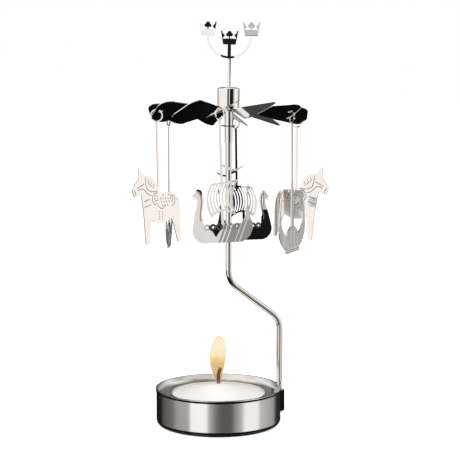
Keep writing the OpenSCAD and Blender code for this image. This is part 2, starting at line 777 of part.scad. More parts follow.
module ship_outline() {
    difference() {
        union() {
            polygon(scaled(hull_shares, ship_w, ship_h));
            translate([-mast_w / 2, shield_z_share * ship_h])
                square([mast_w, (sail_arch_share - shield_z_share) * ship_h]);
            at_shields() circle(shield_r, $fn = 24);
        }
        at_shields() circle(shield_hole_share * shield_r, $fn = 16);
    }
    sail();
}

// Pennant that waves from the stem, tapering to its end
module pennant() {
    translate([0, pennant_share * ship_h])
        polygon(concat(
            [for (k = [0 : sail_steps]) pennant_point(k / sail_steps, 1)],
            [for (k = [sail_steps : -1 : 0]) pennant_point(k / sail_steps, -1)]));
}

module at_shields() {
    for (k = [0 : shield_count - 1])
        translate([shield_x(k), shield_z_share * ship_h]) children();
}

function shield_x(k) = ship_w * (shield_x_shares[0]
    + (shield_x_shares[1] - shield_x_shares[0]) * k / (shield_count - 1));
function pennant_point(t, side) = [
    t * pennant_len_share * ship_w,
    ship_h * pennant_wave_share * cos(t * 300) + side * pennant_w / 2 * (1 - 0.6 * t)];

module ship_lines() {
    stroke(scaled(mane_shares, ship_w, ship_h), mane_w);
    at_shields()
        difference() {
            circle(shield_ring_share * shield_r + etch_w / 2, $fn = 24);
            circle(shield_ring_share * shield_r - etch_w / 2, $fn = 24);
        }
}

module ship(i, k) {
    color("lightgray")
        pendant(i, ship_dirs[k], ship_slants[k], ship_tilts[k], ship_drop - ship_raise[k], ship_h * 0.9) {
            translate([-ship_shifts[k], 0]) etched() {
                ship_outline();
                ship_lines();
            }
            pennant();
        }
}

module helmet_outline() {
    difference() {
        union() {
            // Bowl: straight sides below, an arch above
            translate([-bowl_w / 2, 0]) square([bowl_w, bowl_side_share * bowl_h]);
            translate([0, bowl_side_share * bowl_h])
                intersection() {
                    bowl_arch();
                    translate([-bowl_w, 0]) square([2 * bowl_w, bowl_h]);
                }
            for (k = [0, 1])
                mirror([k, 0])
                    translate([bowl_w / 2, 0]) polygon(scaled(horn_shares, horn_w, helmet_h));
        }
        for (k = [0 : len(slot_x_shares) - 1]) {
            top = slot_top_shares[k] * bowl_h;
            translate([slot_x_shares[k] * bowl_w - bowl_slot_w / 2, brow_h])
                square([bowl_slot_w, top - brow_h]);
        }
    }
}

// Spike that narrows into the stem
module spike() {
    translate([0, bowl_h * 0.9])
        polygon([[-spike_w / 2, 0], [spike_w / 2, 0], [stem_w / 2, spike_h], [-stem_w / 2, spike_h]]);
}

// Two arcs that meet in a blunt point at the top of the bowl
module bowl_arch() {
    rise = bowl_h * (1 - bowl_side_share);
    r = (rise * rise + bowl_w * bowl_w / 4) / bowl_w;
    intersection_for(k = [-1, 1]) translate([k * (r - bowl_w / 2), 0]) circle(r, $fn = 64);
}

module helmet_lines() {
    translate([-bowl_w / 2 + etch_w, brow_h - etch_w * 1.5]) square([bowl_w - 2 * etch_w, etch_w]);
    for (k = [0 : rivet_count - 1])
        translate([bowl_w * ((k + 0.5) / rivet_count - 0.5), brow_h * 0.4])
            circle(rivet_r, $fn = 16);
    for (k = [0, 1])
        mirror([k, 0])
            translate([bowl_w / 2, 0])
                for (line = horn_line_shares) stroke(scaled(line, horn_w, helmet_h), etch_w);
}

module helmet(i, k) {
    color("darkgray")
        pendant(i, helmet_dirs[k], helmet_slants[k], helmet_tilts[k], helmet_drop,
                bowl_h * 0.9 + spike_h * 0.9) {
            etched() {
                helmet_outline();
                helmet_lines();
            }
            spike();
        }
}

module left_horse() { horse(5, 0); }
module right_horse() { horse(2, 1); }
module front_ship() { ship(0, 0); }
module back_ship() { ship(3, 1); }
module right_helmet() { helmet(1, 0); }
module left_helmet() { helmet(4, 1); }

module tealight_cup() {
    color("lightgray")
        translate([0, 0, cup_wall])
            difference() {
                cylinder(d = tealight_d, h = tealight_h, $fn = 96);
                translate([0, 0, tealight_wall])
                    cylinder(d = tealight_d - 2 * tealight_wall, h = tealight_h, $fn = 96);
            }
}

// Height of the mound as a share, u of the way out: nearly a cone, with a soft top and foot
function mound_share(u) = (1 - mound_wave) * (1 - u) + mound_wave * (1 + cos(180 * u)) / 2;

module wax() {
    color("ivory")
        difference() {
            union() {
                translate([0, 0, wax_z]) cylinder(r = wax_r, h = wax_top - wax_z, $fn = 96);
                rotate_extrude($fn = 96)
                    polygon(concat(
                        [[0, wax_z + over], [wax_mound_r, wax_z + over]],
                        [for (k = [mound_steps : -1 : 0]) let (u = k / mound_steps)
                            [u * wax_mound_r, wax_top + wax_mound * mound_share(u)]]));
            }
            // Room for the tin foot, its neck and the wick
            translate([0, 0, wax_z - over])
                cylinder(d = sustainer_d + 2 * wax_gap, h = sustainer_t + over + wax_gap);
            translate([0, 0, wax_z - over])
                cylinder(d = wick_d + 2 * neck_wall + 4 * wax_gap, h = neck_h + over + wax_gap);
            translate([0, 0, wax_z]) cylinder(d = wick_d + 2 * wax_gap, h = tealight_h + wax_mound);
        }
}

module wick() {
    tip = [for (k = [0 : wick_steps]) let (a = wick_bend * k / wick_steps)
        [wick_bend_r * (1 - cos(a)), wick_top + wick_bend_r * sin(a)]];
    color("saddlebrown")
        rotate([90, 0, 0])
            linear_extrude(wick_t, center = true) stroke(concat([[0, wick_z]], tip), wick_w);
}

module wick_sustainer() {
    neck_in = wick_d + 2 * wax_gap;
    color("gray")
        translate([0, 0, wax_z])
            difference() {
                union() {
                    cylinder(d = sustainer_d, h = sustainer_t);
                    cylinder(d = neck_in + 2 * neck_wall, h = neck_h);
                }
                translate([0, 0, sustainer_t]) cylinder(d = neck_in, h = neck_h);
            }
}

cup();
stand_rod();
pivot_sleeve();
pivot_needle();
bearing_cap();
bearing_seat();
rotor();
topper();
left_horse();
front_ship();
right_helmet();
right_horse();
back_ship();
left_helmet();
tealight_cup();
wax();
wick();
wick_sustainer();
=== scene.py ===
"""Candle carousel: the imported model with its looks, its flame and a studio."""

import math

import bmesh
import bpy
from mathutils import Matrix, Vector

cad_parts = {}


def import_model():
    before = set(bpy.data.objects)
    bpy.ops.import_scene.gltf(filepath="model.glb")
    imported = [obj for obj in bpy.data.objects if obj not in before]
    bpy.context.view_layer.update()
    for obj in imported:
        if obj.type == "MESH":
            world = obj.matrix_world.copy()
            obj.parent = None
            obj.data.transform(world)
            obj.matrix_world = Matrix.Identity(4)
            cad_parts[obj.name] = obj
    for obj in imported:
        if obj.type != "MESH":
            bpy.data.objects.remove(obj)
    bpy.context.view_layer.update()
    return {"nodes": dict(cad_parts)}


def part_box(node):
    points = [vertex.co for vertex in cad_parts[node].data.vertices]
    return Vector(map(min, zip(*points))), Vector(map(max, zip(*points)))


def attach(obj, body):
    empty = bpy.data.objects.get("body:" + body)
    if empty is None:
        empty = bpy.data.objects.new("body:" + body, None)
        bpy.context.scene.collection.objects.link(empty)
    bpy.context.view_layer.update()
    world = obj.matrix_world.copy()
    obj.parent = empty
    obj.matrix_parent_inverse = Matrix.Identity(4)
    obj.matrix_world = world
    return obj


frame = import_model()
nodes = frame["nodes"]

MM = 0.001
UP = Vector((0, 0, 1))

# Camera: where the photograph was taken from, seen from the cup's axis
PHOTO_PX = 460
SENSOR_MM = 36
CAM_AZIMUTH = -20
CAM_DISTANCE = 540 * MM
CAM_HEIGHT = 139 * MM
CAM_FOCAL_PX = 1379
CAM_PITCH = 6.5
CAM_YAW = -0.49

# Sheet of the pendants and the topper, and the depth of its etched lines
PLATE_MM = 0.5
GROOVE_MM = 0.1

# Width of the sleeve's flange that looks down, at its outer edge
FLANGE_EDGE_MM = 0.35

# Cup, in millimetres: how far inside its outer face its inside begins, the bands below the rim
# that are rolled outside and inside, the rounded foot, and how far out the strap begins
CUP = "cup"
INSIDE_FROM = 0.35
OUTER_ROLL = (1.0, 0.3)
INNER_ROLL = (3.2, 1.2)
FOOT_ROUND = 1.7
STRAP_OUT = 0.4

# Wick, in millimetres above the ground: where it begins to be charred, and where it is black
WICK_BROWN = 16
WICK_BLACK = 21

# Slopes of a plate's face that mirror a certain tone of the surround, where the plate itself
# looks at the camera
TO_BLACK = 0.18
TO_PALE = -0.16
TO_WHITE = -0.32
TO_GREY = 0.456
TO_LIGHT_GREY = 0.61

# Slope of an upright face that is rolled over, so that it mirrors the dark ground
ROLLED_DOWN = -0.45


def outward(azimuth, elevation=0.0):
    """The way from the object to one of its sides, by degrees from the front and the level."""
    a, e = math.radians(azimuth), math.radians(elevation)
    return Vector((math.sin(a) * math.cos(e), -math.cos(a) * math.cos(e), math.sin(e)))


# Shader helpers: nodes, numbers and places

def add(tree, kind, *inputs, **settings):
    """A node of that kind. Each input is (socket, value or another node's output)."""
    made = tree.nodes.new("ShaderNode" + kind)
    for name, value in settings.items():
        setattr(made, name, value)
    for socket, value in inputs:
        if isinstance(value, bpy.types.NodeSocket):
            tree.links.new(value, made.inputs[socket])
        else:
            made.inputs[socket].default_value = value
    return made


def calc(tree, operation, a, b=0.0):
    """What a Math node makes of one number or two."""
    return add(tree, "Math", (0, a), (1, b), operation=operation).outputs[0]


def plus(tree, a, b):
    return calc(tree, "ADD", a, b)


def minus(tree, a, b):
    return calc(tree, "SUBTRACT", a, b)


def times(tree, a, b):
    return calc(tree, "MULTIPLY", a, b)


def larger(tree, a, b):
    return calc(tree, "MAXIMUM", a, b)


def unsigned(tree, a):
    return calc(tree, "ABSOLUTE", a)


def place(tree):
    """The place in the object as it stands at rest, in metres."""
    return add(tree, "TexCoord").outputs["Object"]


def stretched(tree, scale):
    """The place in the object, scaled along each axis."""
    return add(tree, "Mapping", (0, place(tree)), ("Scale", scale)).outputs[0]


def along(tree, vector, origin, direction):
    """How far a place lies from the origin along a direction, in millimetres."""
    far = add(tree, "VectorMath", (0, vector), (1, origin), operation="SUBTRACT").outputs[0]
    way = add(tree, "VectorMath", (0, far), (1, direction / MM), operation="DOT_PRODUCT")
    return way.outputs["Value"]


def outwards(tree, axis=(0, 0, 0)):
    """How far the place lies from an upright axis, in millimetres."""
    way = add(tree, "VectorMath", (0, place(tree)), (1, axis), operation="SUBTRACT").outputs[0]
    flat = add(tree, "VectorMath", (0, way), (1, (1, 1, 0)), operation="MULTIPLY").outputs[0]
    far = add(tree, "VectorMath", (0, flat), operation="LENGTH").outputs["Value"]
    return calc(tree, "DIVIDE", far, MM)


def upwards(tree):
    """How far the place lies above the ground, in millimetres."""
    return calc(tree, "DIVIDE", add(tree, "SeparateXYZ", (0, place(tree))).outputs["Z"], MM)


def noise(tree, vector, scale, detail=2.0, rough=0.5):
    return add(tree, "TexNoise", ("Vector", vector), ("Scale", scale), ("Detail", detail),
               ("Roughness", rough)).outputs[0]


def spread(tree, value, low, high, from_low=0.3, from_high=0.7):
    """A value's range, which is a noise's usual one unless given, spread from low to high."""
    return add(tree, "MapRange", (0, value), (1, from_low), (2, from_high), (3, low),
               (4, high)).outputs[0]


def above(tree, value, limit, soft=0.15):
    """0 below a limit and 1 above it."""
    return spread(tree, value, 0, 1, limit - soft, limit + soft)


def below(tree, value, limit, soft=0.15):
    """1 below a limit and 0 above it."""
    return spread(tree, value, 1, 0, limit - soft, limit + soft)


def band(tree, value, low, high, soft=1.0):
    """1 between two limits."""
    return times(tree, above(tree, value, low, soft), below(tree, value, high, soft))


def near(tree, across, up, spot, radius):
    """1 inside a circle on the plate."""
    way = add(tree, "CombineXYZ", (0, across), (1, up)).outputs[0]
    far = add(tree, "VectorMath", (0, way), (1, (*spot, 0)), operation="DISTANCE")
    return below(tree, far.outputs["Value"], radius, soft=0.1)


def choose(tree, which, a, b):
    """The number a where which is 0, and b where it is 1."""
    return add(tree, "Mix", (0, which), (2, a), (3, b)).outputs[0]


# Shader helpers: colours, normals and materials

def ramp(tree, fac, stops, interpolation="LINEAR"):
    """A colour ramp through (place, grey or colour) stops."""
    made = add(tree, "ValToRGB", (0, fac))
    colours = made.color_ramp
    colours.interpolation = interpolation
    while len(colours.elements) < len(stops):
        colours.elements.new(0.5)
    for element, (at, colour) in zip(colours.elements, stops):
        element.position = at
        if isinstance(colour, (int, float)):
            colour = (colour, colour, colour)
        element.color = (*colour, 1)
    return made.outputs["Color"]


def steps(tree, value, low, high, stops):
    """Slopes in sharp steps along a value, as (place, slope), both in its own units."""
    share = spread(tree, value, 0, 1, low, high)
    # A ramp holds nothing below 0, so each slope goes through it with 1 added
    shares = [((at - low) / (high - low), slope + 1) for at, slope in stops]
    return minus(tree, ramp(tree, share, shares, "CONSTANT"), 1)


def grey(tone):
    return (tone, tone, tone, 1)


def blend_colours(tree, fac, a, b):
    return add(tree, "Mix", (0, fac), (6, a), (7, b), data_type="RGBA").outputs[2]


def mottled(tree, marks, colour, worn):
    """A metal's colour, which is darker, down to a worn share, where the marks are low."""
    dark = [c * worn for c in colour]
    return blend_colours(tree, spread(tree, marks, 0, 1), (*dark, 1), (*colour, 1))


def bump(tree, height, depth_mm, under=None):
    """The normal of a relief, on the plain face or on another normal."""
    made = add(tree, "Bump", ("Strength", 1.0), ("Distance", depth_mm * MM), ("Height", height))
    if under:
        tree.links.new(under, made.inputs["Normal"])
    return made.outputs[0]


def face_normal(tree):
    return add(tree, "NewGeometry").outputs["Normal"]


def tipped(tree, normal, tip):
    """A normal that leans towards tip."""
    bent = add(tree, "VectorMath", (0, normal), (1, tip)).outputs[0]
    return add(tree, "VectorMath", (0, bent), operation="NORMALIZE").outputs[0]


def tilted(tree, slope):
    """The face's normal, tipped upwards by a slope."""
    return tipped(tree, face_normal(tree), add(tree, "CombineXYZ", (2, slope)).outputs[0])


def to_world(tree, way):
    """A direction of the part at rest, turned with its body."""
    way = add(tree, "CombineXYZ", (0, way.x), (1, way.y), (2, way.z)).outputs[0]
    return add(tree, "VectorTransform", (0, way), vector_type="VECTOR", convert_from="OBJECT",
               convert_to="WORLD").outputs[0]


def material(name):
    """A new material with its node tree and its principled shader."""
    made = bpy.data.materials.new(name)
    made.use_nodes = True
    tree = made.node_tree
    return made, tree, tree.nodes["Principled BSDF"]


def put(tree, shader, **values):
    """Sets or links sockets of a shader, with _ for a space in each name."""
    for name, value in values.items():
        socket = shader.inputs[name.replace("_", " ")]
        if isinstance(value, bpy.types.NodeSocket):
            tree.links.new(value, socket)
        else:
            socket.default_value = value


def surface(tree, shader):
    """That shader alone is the material."""
    tree.links.new(shader, tree.nodes["Material Output"].inputs["Surface"])


# Plates: how each face leans across the plate, by the millimetres along it and up it

def wavy(amount):
    """A slight even wave."""
    def bend(tree, across, up):
        wave = noise(tree, place(tree), scale=45, detail=1)
        return spread(tree, wave, -amount, amount, 0.25, 0.75)
    return bend


def front_ship_bend(tree, across, up):
    """Pale at the bow, grey with slanted pale creases at the stern, and a dark dent between."""
    half, hull_top, crease_slant = 12, 9, 0.35
    slanted = minus(tree, across, times(tree, up, crease_slant))
    hull = steps(tree, slanted, -half, half, [
        (-half, TO_PALE), (-1.7, TO_GREY), (-0.9, TO_PALE), (-0.2, TO_GREY), (0.9, TO_WHITE),
        (1.3, TO_GREY), (4.2, TO_PALE), (4.5, TO_GREY), (5.6, TO_LIGHT_GREY), (6.2, TO_GREY)])
    # The dent comes down to a point below two of the shields, and takes them in
    dent_left, dent_low, dent_top, dent_slope = 2.4, 2.4, 6.4, 1.6
    aside = unsigned(tree, plus(tree, across, dent_left))
    point = minus(tree, up, times(tree, aside, dent_slope))
    dent = times(tree, above(tree, point, dent_low), below(tree, up, dent_top))
    for shield in ((-3.7, 6.2), (-1.3, 6.3)):
        dent = larger(tree, dent, near(tree, across, up, shield, radius=1.45))
    hull = choose(tree, dent, hull, TO_BLACK)
    sail = steps(tree, across, -half, half, [(-half, TO_PALE), (3.4, TO_LIGHT_GREY)])
    # The mane is a crescent, what one circle has outside another
    mane = minus(tree, near(tree, across, up, (-9.1, 18.8), radius=1.5),
                 near(tree, across, up, (-9.5, 18.2), radius=1.4))
    return choose(tree, above(tree, up, hull_top), hull, choose(tree, mane, sail, TO_BLACK))


def back_ship_bend(tree, across, up):
    """Black but for the right of its sail and its neck."""
    hull_top, sail_top, neck_black = 9.5, 25, 13
    neck_in, neck_foot, neck_narrowing = 8, 14.5, 1.6
    slanted = plus(tree, across, times(tree, up, 0.15))
    sail = spread(tree, slanted, TO_BLACK, TO_PALE, 1.2, 2.8)
    neck = choose(tree, above(tree, up, neck_black), TO_BLACK, TO_LIGHT_GREY)
    out = plus(tree, across, choose(tree, above(tree, up, neck_foot), neck_narrowing, 0.0))
    high = choose(tree, above(tree, out, neck_in), sail, neck)
    high = choose(tree, above(tree, up, sail_top), high, TO_BLACK)
    return choose(tree, above(tree, up, hull_top), TO_BLACK, high)


def right_horse_bend(tree, across, up):
    """Pale, with a greyer flank and chest."""
    pale = 0.04
    flank = times(tree, band(tree, across, -8, 2), band(tree, up, 7.6, 20.5))
    chest = times(tree, band(tree, across, 3.6, 9), band(tree, up, 13, 17.6))
    uneven_grey = spread(tree, noise(tree, place(tree), scale=150, detail=1), -0.34, -0.25)
    return choose(tree, larger(tree, flank, chest), pale, uneven_grey)


def topper_bend(tree, across, up):
    """The left crown mirrors pale walls, the middle one black and the right one grey."""
    half, crown_half, stem_half = 14, 3.6, 1
    stem_top, elbow_top, arm_top = 12.6, 16, 21.6
    side = steps(tree, across, -half, half, [
        (-half, TO_WHITE), (-crown_half, TO_BLACK), (crown_half, TO_LIGHT_GREY)])
    arm = steps(tree, across, -half, half, [
        (-half, TO_WHITE), (-crown_half, TO_BLACK), (crown_half, TO_PALE)])
    elbow = times(tree, above(tree, across, 1.6), below(tree, up, elbow_top))
    arm = choose(tree, elbow, arm, TO_PALE)
    stem = steps(tree, across, -stem_half, stem_half, [(-stem_half, TO_WHITE), (-0.15, TO_BLACK)])
    low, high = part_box("topper")
    crest_foot = (high[2] - low[2]) / MM - 3.2
    crest = times(tree, above(tree, up, crest_foot), above(tree, across, -10.2))
    crest = times(tree, crest, below(tree, across, 0))
    side = choose(tree, crest, side, TO_BLACK)
    side = choose(tree, above(tree, up, arm_top), arm, side)
    return choose(tree, above(tree, up, stem_top), stem, side)


def plate_axes(name):
    """The middle of a plate's foot, the way its face looks on the camera's side, and its right."""
    # The largest face shows which way the plate looks. A ring crosses its pendant's plate and
    # reaches as far out on both sides, so the middle of both is the plate's own.
    mesh = nodes[name].data
    normal = max(mesh.polygons, key=lambda face: face.area).normal.copy()
    if normal.dot(outward(CAM_AZIMUTH)) < 0:
        normal.negate()
    low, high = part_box(name)
    middle = Vector([(a + b) / 2 for a, b in zip(low, high)])
    middle.z = low[2]
    depths = [normal.dot(vertex.co) for vertex in mesh.vertices]
    middle += normal * ((min(depths) + max(depths)) / 2 - normal.dot(middle))
    return middle, normal, UP.cross(normal)


def etched_plate(name, bend, line_grey, line_metal):
    """Mirror plate whose etched lines and cut edges, which lie below its faces, are matt.

    Like the real sheets it is not quite flat: bend gives the slope of its face.
    """
    made, tree, shader = material(name + "_steel")
    middle, normal, right = plate_axes(name)
    here = place(tree)
    off = unsigned(tree, along(tree, here, middle, normal))
    under_face = below(tree, off, PLATE_MM / 2 - GROOVE_MM / 2, soft=0.02)
    # Cut edges look along the plate, and etched lines out of it
    facing = add(tree, "VectorMath", (0, face_normal(tree)), (1, to_world(tree, normal)),
                 operation="DOT_PRODUCT").outputs["Value"]
    line = times(tree, under_face, above(tree, unsigned(tree, facing), 0.5, soft=0.1))
    slope = bend(tree, along(tree, here, middle, right), along(tree, here, middle, UP))
    tip = add(tree, "VectorMath", (0, to_world(tree, right)), (3, slope),
              operation="SCALE").outputs[0]
    bent = tipped(tree, face_normal(tree), tip)
    marks = bump(tree, noise(tree, here, scale=700, detail=3), depth_mm=0.0004, under=bent)
    grain = bump(tree, noise(tree, here, scale=2200), depth_mm=0.002, under=marks)
    rub = noise(tree, here, scale=160, detail=3)
    face = blend_colours(tree, spread(tree, rub, 0, 1), (0.9, 0.85, 0.82, 1),
                         (0.95, 0.9, 0.87, 1))
    line_colour = (line_grey, line_grey * 0.93, line_grey * 0.88, 1)
    put(tree, shader, Metallic=choose(tree, line, 1.0, line_metal), Normal=grain,
        Base_Color=blend_colours(tree, line, face, line_colour),
        Roughness=choose(tree, under_face, spread(tree, rub, 0.04, 0.09), 0.5))
    return made


# Other materials

def polished(name, colour, roughness, wave_mm, flange=None):
    """Polished steel: a slight wave in its face and faint rubbing marks.

    A flange is given as its axis and the radius beyond which it looks down.
    """
    made, tree, shader = material(name)
    rolled = None
    if flange:
        axis, radius = flange
        beyond = above(tree, outwards(tree, axis), radius, soft=0.1)
        rolled = tilted(tree, times(tree, beyond, ROLLED_DOWN))
    wave = bump(tree, noise(tree, place(tree), scale=60, detail=1), wave_mm, under=rolled)
    rub = noise(tree, place(tree), scale=900, detail=3, rough=0.6)
    dull = noise(tree, place(tree), scale=130, detail=3)
    put(tree, shader, Metallic=1.0, Normal=bump(tree, rub, depth_mm=0.0006, under=wave),
        Base_Color=mottled(tree, dull, colour, worn=0.93),
        Roughness=spread(tree, dull, roughness * 0.75, roughness * 1.35))
    return made


def flange_of(name):
    """The axis of an upright sleeve, and where the outer edge of its flange begins."""
    low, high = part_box(name)
    axis = [(a + b) / 2 for a, b in zip(low, high)]
    return axis, (high[0] - low[0]) / 2 / MM - FLANGE_EDGE_MM


def brushed(name, colour):
    """Satin steel, brushed round the cup, so that its grain runs level, and duller inside.

    The rim is slightly rolled: its outside looks down, and its inside looks up. The foot and
    the strap look down too.
    """
    made, tree, shader = material(name)
    grain = noise(tree, stretched(tree, (40, 40, 14000)), scale=1.0, detail=3, rough=0.6)
    blur = noise(tree, place(tree), scale=90, detail=3)
    out, up = outwards(tree), upwards(tree)
    # The strap stands out along X, so the radius is the reach along Y
    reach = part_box(CUP)[1]
    radius, rim = reach[1] / MM, reach[2] / MM
    inside = below(tree, out, radius - INSIDE_FROM, soft=0.1)
    roll_out = times(tree, above(tree, up, rim - OUTER_ROLL[0]),
                     below(tree, up, rim - OUTER_ROLL[1], soft=0.1))
    foot = below(tree, up, FOOT_ROUND, soft=0.5)
    strap = above(tree, out, radius + STRAP_OUT)
    roll_out = larger(tree, roll_out, larger(tree, foot, strap))
    roll_in = spread(tree, up, 0, 1, rim - INNER_ROLL[0], rim - INNER_ROLL[1])
    uneven = noise(tree, stretched(tree, (60, 60, 20)), scale=1.0, detail=1)
    roll_in = times(tree, roll_in, spread(tree, uneven, 0.2, 0.75, 0.35, 0.6))
    slope = choose(tree, inside, times(tree, roll_out, ROLLED_DOWN), roll_in)
    put(tree, shader, Metallic=1.0, Anisotropic=0.5, Anisotropic_Rotation=0.25,
        Normal=bump(tree, grain, depth_mm=0.0012, under=tilted(tree, slope)),
        Tangent=add(tree, "Tangent", direction_type="RADIAL", axis="Z").outputs[0],
        Base_Color=mottled(tree, blur, colour, worn=0.96),
        Roughness=choose(tree, inside, spread(tree, grain, 0.13, 0.18), 0.34))
    return made


def plain_metal(name, colour, roughness, scale=400, depth_mm=0.01, worn=0.85):
    """Metal with uneven wear, in spots of one size."""
    made, tree, shader = material(name)
    marks = noise(tree, place(tree), scale, detail=3, rough=0.6)
    put(tree, shader, Metallic=1.0, Normal=bump(tree, marks, depth_mm),
        Base_Color=mottled(tree, marks, colour, worn),
        Roughness=spread(tree, marks, roughness * 0.8, roughness * 1.3))
    return made


def wax_material():
    """Clouded wax with a soft relief, which light enters."""
    made, tree, shader = material("wax")
    cloud = noise(tree, place(tree), scale=140, detail=3)
    put(tree, shader, Roughness=spread(tree, cloud, 0.3, 0.5),
        Base_Color=blend_colours(tree, spread(tree, cloud, 0, 1), (0.93, 0.915, 0.885, 1),
                                 (0.96, 0.95, 0.93, 1)),
        Normal=bump(tree, noise(tree, place(tree), scale=260), depth_mm=0.05),
        Subsurface_Weight=0.3, Subsurface_Radius=(0.004, 0.0035, 0.003), Subsurface_Scale=1.0)
    return made


def wick_material():
    """Charred cotton: twisted strands, black at the tip and brown below."""
    made, tree, shader = material("wick")
    burnt = ramp(tree, spread(tree, upwards(tree), 0, 1, WICK_BROWN, WICK_BLACK),
                 [(0, (0.33, 0.2, 0.11)), (0.35, (0.13, 0.06, 0.03)), (1, (0.05, 0.018, 0.012))])
    strands = add(tree, "TexWave", ("Vector", stretched(tree, (1, 1, 2.2))), ("Scale", 420),
                  ("Distortion", 3), ("Detail", 2), bands_direction="DIAGONAL").outputs[0]
    put(tree, shader, Roughness=0.85, Base_Color=burnt,
        Normal=bump(tree, strands, depth_mm=0.06))
    return made


def flame_material(foot_mm, height_mm):
    """A candle flame: pale cream above, golden round the wick and dark gold at its foot."""
    made, tree, shader = material("flame")
    tree.nodes.remove(shader)
    level = spread(tree, upwards(tree), 0, 1, foot_mm, foot_mm + height_mm)
    flicker = noise(tree, stretched(tree, (500, 500, 120)), scale=1.0)
    shifted = plus(tree, level, spread(tree, flicker, -0.04, 0.04))
    colour = ramp(tree, shifted,
                  [(0, (0.36, 0.19, 0.07)), (0.12, (0.55, 0.36, 0.14)), (0.3, (0.68, 0.46, 0.2)),
                   (0.45, (0.78, 0.54, 0.22)), (0.6, (0.95, 0.78, 0.5)),
                   (0.75, (0.985, 0.86, 0.68)), (0.92, (0.98, 0.83, 0.6)), (1, (0.95, 0.7, 0.35))])
    # Seen edge-on the flame is thin, so its rim is clearer and more golden
    rim = add(tree, "LayerWeight", (0, 0.35)).outputs["Facing"]
    colour = blend_colours(tree, spread(tree, rim, 0, 0.75, 0.35, 0.95), colour,
                           (0.93, 0.62, 0.25, 1))
    # The near side is clear below, so that the wick shows against the far one
    front = ramp(tree, level, [(0, 0.1), (0.28, 0.16), (0.42, 0.7), (0.6, 1.0), (1, 1.0)])
    back = ramp(tree, level, [(0, 0.6), (0.2, 0.9), (0.5, 1.0), (1, 1.0)])
    cover = choose(tree, add(tree, "NewGeometry").outputs["Backfacing"], front, back)
    cover = times(tree, cover, spread(tree, rim, 1, 0.3, 0.7, 1))
    glow = add(tree, "Emission", (0, colour), (1, 1.0))
    clear = add(tree, "BsdfTransparent")
    surface(tree, add(tree, "MixShader", (0, cover), (1, clear.outputs[0]),
                      (2, glow.outputs[0])).outputs[0])
    return made


# Each CAD node with its material

def dress(name, made):
    """Gives a CAD node a material in each of its slots."""
    mesh = nodes[name].data
    if not mesh.materials:
        mesh.materials.append(made)
    for k in range(len(mesh.materials)):
        mesh.materials[k] = made


# Grey and metallic share of the etched lines
HORSE_LINES = (0.25, 1.0)
HELMET_LINES = (0.9, 0.0)
OTHER_LINES = (0.5, 1.0)
PLATES = {
    "left_horse": (wavy(0.02), HORSE_LINES),
    "right_horse": (right_horse_bend, HORSE_LINES),
    "left_helmet": (wavy(0.1), HELMET_LINES),
    "right_helmet": (wavy(0.07), HELMET_LINES),
    "front_ship": (front_ship_bend, OTHER_LINES),
    "back_ship": (back_ship_bend, OTHER_LINES),
    "topper": (topper_bend, OTHER_LINES)}

dress(CUP, brushed("cup_steel", (0.96, 0.94, 0.92)))
dress("stand_rod", polished("rod_steel", (0.92, 0.9, 0.88), roughness=0.05, wave_mm=0.008))
dress("pivot_sleeve", polished("sleeve_steel", (0.94, 0.92, 0.9), roughness=0.05, wave_mm=0.008,
                               flange=flange_of("pivot_sleeve")))
dress("bearing_cap", polished("cap_steel", (0.94, 0.92, 0.9), roughness=0.04, wave_mm=0.01))
dress("rotor", polished("rotor_steel", (0.9, 0.88, 0.86), roughness=0.05, wave_mm=0.03))
for plate, (bend, lines) in PLATES.items():
    dress(plate, etched_plate(plate, bend, *lines))
    # The photograph shows no plate's image in another one
    nodes[plate].visible_glossy = False
dress("pivot_needle", plain_metal("needle_steel", (0.45, 0.45, 0.45), roughness=0.2))
dress("bearing_seat", plain_metal("seat_brass", (0.83, 0.66, 0.36), roughness=0.25))
dress("wick_sustainer", plain_metal("tin", (0.62, 0.62, 0.62), roughness=0.4))
dress("tealight_cup", plain_metal("tealight_aluminium", (0.85, 0.84, 0.83), roughness=0.28,
                                  scale=250, depth_mm=0.004, worn=0.94))
dress("wax", wax_material())
dress("wick", wick_material())


def new_object(name, data):
    """A new object in the scene."""
    made = bpy.data.objects.new(name, data)
    bpy.context.scene.collection.objects.link(made)
    return made


# Flame: a tall drop round the wick, in millimetres

FLAME_HEIGHT = 18.9
FLAME_WIDTH = 6.6
FLAME_OVER_WAX = 0.4
FLAME_SIDES = 32
# Sideways lean, which follows a sine along the height for this many half turns
FLAME_LEAN = 0.4
FLAME_LEAN_SPAN = 1.4
# Width along the height, from foot to tip, as shares of the widest, and the least that is used
FLAME_SHARES = [
    (0, 0.12), (0.04, 0.28), (0.12, 0.48), (0.22, 0.66), (0.34, 0.83), (0.46, 0.95), (0.58, 1.0),
    (0.7, 0.97), (0.8, 0.87), (0.88, 0.72), (0.94, 0.52), (0.98, 0.3), (1, 0)]
FLAME_LEAST_SHARE = 0.01


def flame_mesh(foot):
    """A closed round form with a slight lean."""
    work = bmesh.new()
    turns = [2 * math.pi * k / FLAME_SIDES for k in range(FLAME_SIDES)]
    rings = []
    for up, wide in FLAME_SHARES:
        z = (foot + up * FLAME_HEIGHT) * MM
        r = max(wide, FLAME_LEAST_SHARE) * FLAME_WIDTH / 2 * MM
        lean = FLAME_LEAN * MM * math.sin(up * math.pi * FLAME_LEAN_SPAN)
        rings.append([work.verts.new((r * math.cos(a) - lean, r * math.sin(a), z)) for a in turns])
    for low, high in zip(rings, rings[1:]):
        for k in range(FLAME_SIDES):
            after = (k + 1) % FLAME_SIDES
            work.faces.new((low[k], low[after], high[after], high[k]))
    work.faces.new(list(reversed(rings[0])))
    work.faces.new(rings[-1])
    for face in work.faces:
        face.smooth = True
    mesh = bpy.data.meshes.new("flame")
    work.to_mesh(mesh)
    work.free()
    return mesh


